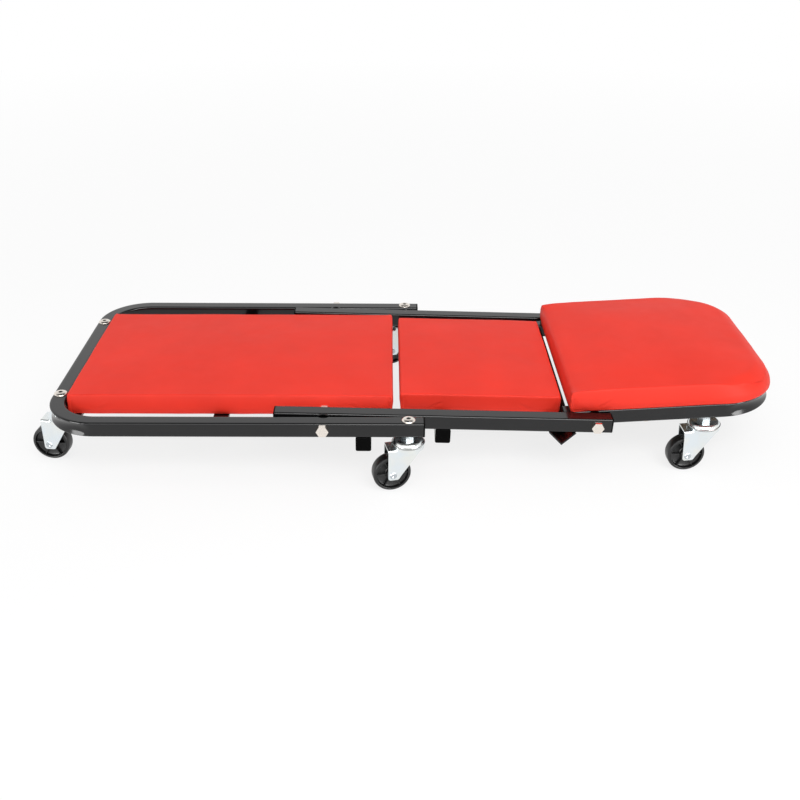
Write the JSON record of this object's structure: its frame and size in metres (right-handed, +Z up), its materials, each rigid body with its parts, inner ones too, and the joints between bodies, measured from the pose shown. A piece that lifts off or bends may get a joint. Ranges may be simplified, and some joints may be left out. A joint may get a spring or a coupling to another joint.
{
  "type": "folding mechanics creeper",
  "caption": "Padded red vinyl mechanics creeper on a black square-tube frame with swivel casters, lying flat; it folds up on two pivots into a rolling stool.",
  "frame": {"origin": "on the floor under the middle of the creeper's box, creeper lying flat", "axes": "+X towards the head end, +Y to the right of a person lying on it face up, +Z up"},
  "size_m": [0.9985, 0.4118, 0.1363],
  "materials": {
    "black_paint": "gloss black powder coat on square steel tube",
    "red_vinyl": "smooth red vinyl over foam, soft sheen",
    "plywood": "bare plywood",
    "zinc_plate": "bright zinc-plated pressed steel",
    "steel": "zinc-plated bolts, nuts and balls",
    "black_wheel": "moulded black nylon, satin",
    "black_cap": "moulded black polythene, satin"
  },
  "bodies": {
    "base": {"base_frame": "black_paint", "base_stop_tube": "black_paint", "base_end_caps": "black_cap", "base_center_bar": "black_paint", "base_end_bar": "black_paint", "base_board": "plywood", "base_cushion": "red_vinyl", "base_pad_screws": "steel", "base_pivot_bolts": "steel", "base_pivot_nuts": "steel", "base_pivot_spacers": "steel", "base_caster_bolts": "steel", "base_caster_nuts": "steel", "base_caster_cups": "zinc_plate", "base_caster_balls": "steel"},
    "middle": {"middle_arm_left": "black_paint", "middle_arm_right": "black_paint", "middle_end_caps": "black_cap", "middle_cross_tube": "black_paint", "middle_stop_angle": "black_paint", "middle_board": "plywood", "middle_cushion": "red_vinyl", "middle_pad_screws": "steel", "head_pivot_bolts": "steel", "head_pivot_nuts": "steel", "head_pivot_spacers": "steel"},
    "head": {"head_frame": "black_paint", "head_end_caps": "black_cap", "head_board": "plywood", "head_cushion": "red_vinyl", "head_pad_screws": "steel", "head_caster_bolts": "steel", "head_caster_nuts": "steel", "head_caster_cups": "zinc_plate", "head_caster_balls": "steel"},
    "foot_left_fork": {"fork_foot_left": "zinc_plate", "sleeve_foot_left": "zinc_plate", "axle_foot_left": "zinc_plate"},
    "foot_left_wheel": {"wheel_foot_left": "black_wheel"},
    "mid_left_fork": {"fork_mid_left": "zinc_plate", "sleeve_mid_left": "zinc_plate", "axle_mid_left": "zinc_plate"},
    "mid_left_wheel": {"wheel_mid_left": "black_wheel"},
    "head_left_fork": {"fork_head_left": "zinc_plate", "sleeve_head_left": "zinc_plate", "axle_head_left": "zinc_plate"},
    "head_left_wheel": {"wheel_head_left": "black_wheel"},
    "foot_right_fork": {"fork_foot_right": "zinc_plate", "sleeve_foot_right": "zinc_plate", "axle_foot_right": "zinc_plate"},
    "foot_right_wheel": {"wheel_foot_right": "black_wheel"},
    "mid_right_fork": {"fork_mid_right": "zinc_plate", "sleeve_mid_right": "zinc_plate", "axle_mid_right": "zinc_plate"},
    "mid_right_wheel": {"wheel_mid_right": "black_wheel"},
    "head_right_fork": {"fork_head_right": "zinc_plate", "sleeve_head_right": "zinc_plate", "axle_head_right": "zinc_plate"},
    "head_right_wheel": {"wheel_head_right": "black_wheel"}
  },
  "joints": [
    {"name": "middle_fold", "type": "hinge", "parent": "base", "child": "middle", "pos_m": [-0.10215, 0, 0.0891], "axis": [0, -1, 0], "range_deg": [0, 133.5]},
    {"name": "head_fold", "type": "hinge", "parent": "middle", "child": "head", "pos_m": [0.25086, 0, 0.08139], "axis": [0, 1, 0], "range_deg": [0, 139.5]},
    {"name": "foot_left_swivel", "type": "hinge", "parent": "base", "child": "foot_left_fork", "pos_m": [-0.45195, -0.1158, 0.072], "axis": [0, 0, 1], "continuous": true},
    {"name": "foot_left_roll", "type": "hinge", "parent": "foot_left_fork", "child": "foot_left_wheel", "pos_m": [-0.47413, -0.11347, 0.025], "axis": [0.1045, 0.9945, 0], "continuous": true},
    {"name": "mid_left_swivel", "type": "hinge", "parent": "base", "child": "mid_left_fork", "pos_m": [0.00675, -0.1844, 0.072], "axis": [0, 0, 1], "continuous": true},
    {"name": "mid_left_roll", "type": "hinge", "parent": "mid_left_fork", "child": "mid_left_wheel", "pos_m": [-0.01498, -0.18942, 0.025], "axis": [-0.225, 0.9744, 0], "continuous": true},
    {"name": "head_left_swivel", "type": "hinge", "parent": "head", "child": "head_left_fork", "pos_m": [0.39967, -0.138, 0.07332], "axis": [-0.0634, 0, 0.998], "continuous": true},
    {"name": "head_left_roll", "type": "hinge", "parent": "head_left_fork", "child": "head_left_wheel", "pos_m": [0.38043, -0.13917, 0.025], "axis": [-0.0522, 0.9986, -0.0033], "continuous": true},
    {"name": "foot_right_swivel", "type": "hinge", "parent": "base", "child": "foot_right_fork", "pos_m": [-0.45195, 0.1158, 0.072], "axis": [0, 0, 1], "continuous": true},
    {"name": "foot_right_roll", "type": "hinge", "parent": "foot_right_fork", "child": "foot_right_wheel", "pos_m": [-0.47413, 0.11813, 0.025], "axis": [0.1045, 0.9945, 0], "continuous": true},
    {"name": "mid_right_swivel", "type": "hinge", "parent": "base", "child": "mid_right_fork", "pos_m": [0.00675, 0.1844, 0.072], "axis": [0, 0, 1], "continuous": true},
    {"name": "mid_right_roll", "type": "hinge", "parent": "mid_right_fork", "child": "mid_right_wheel", "pos_m": [-0.01498, 0.17938, 0.025], "axis": [-0.225, 0.9744, 0], "continuous": true},
    {"name": "head_right_swivel", "type": "hinge", "parent": "head", "child": "head_right_fork", "pos_m": [0.39967, 0.138, 0.07332], "axis": [-0.0634, 0, 0.998], "continuous": true},
    {"name": "head_right_roll", "type": "hinge", "parent": "head_right_fork", "child": "head_right_wheel", "pos_m": [0.38043, 0.13683, 0.025], "axis": [-0.0522, 0.9986, -0.0033], "continuous": true}
  ]
}
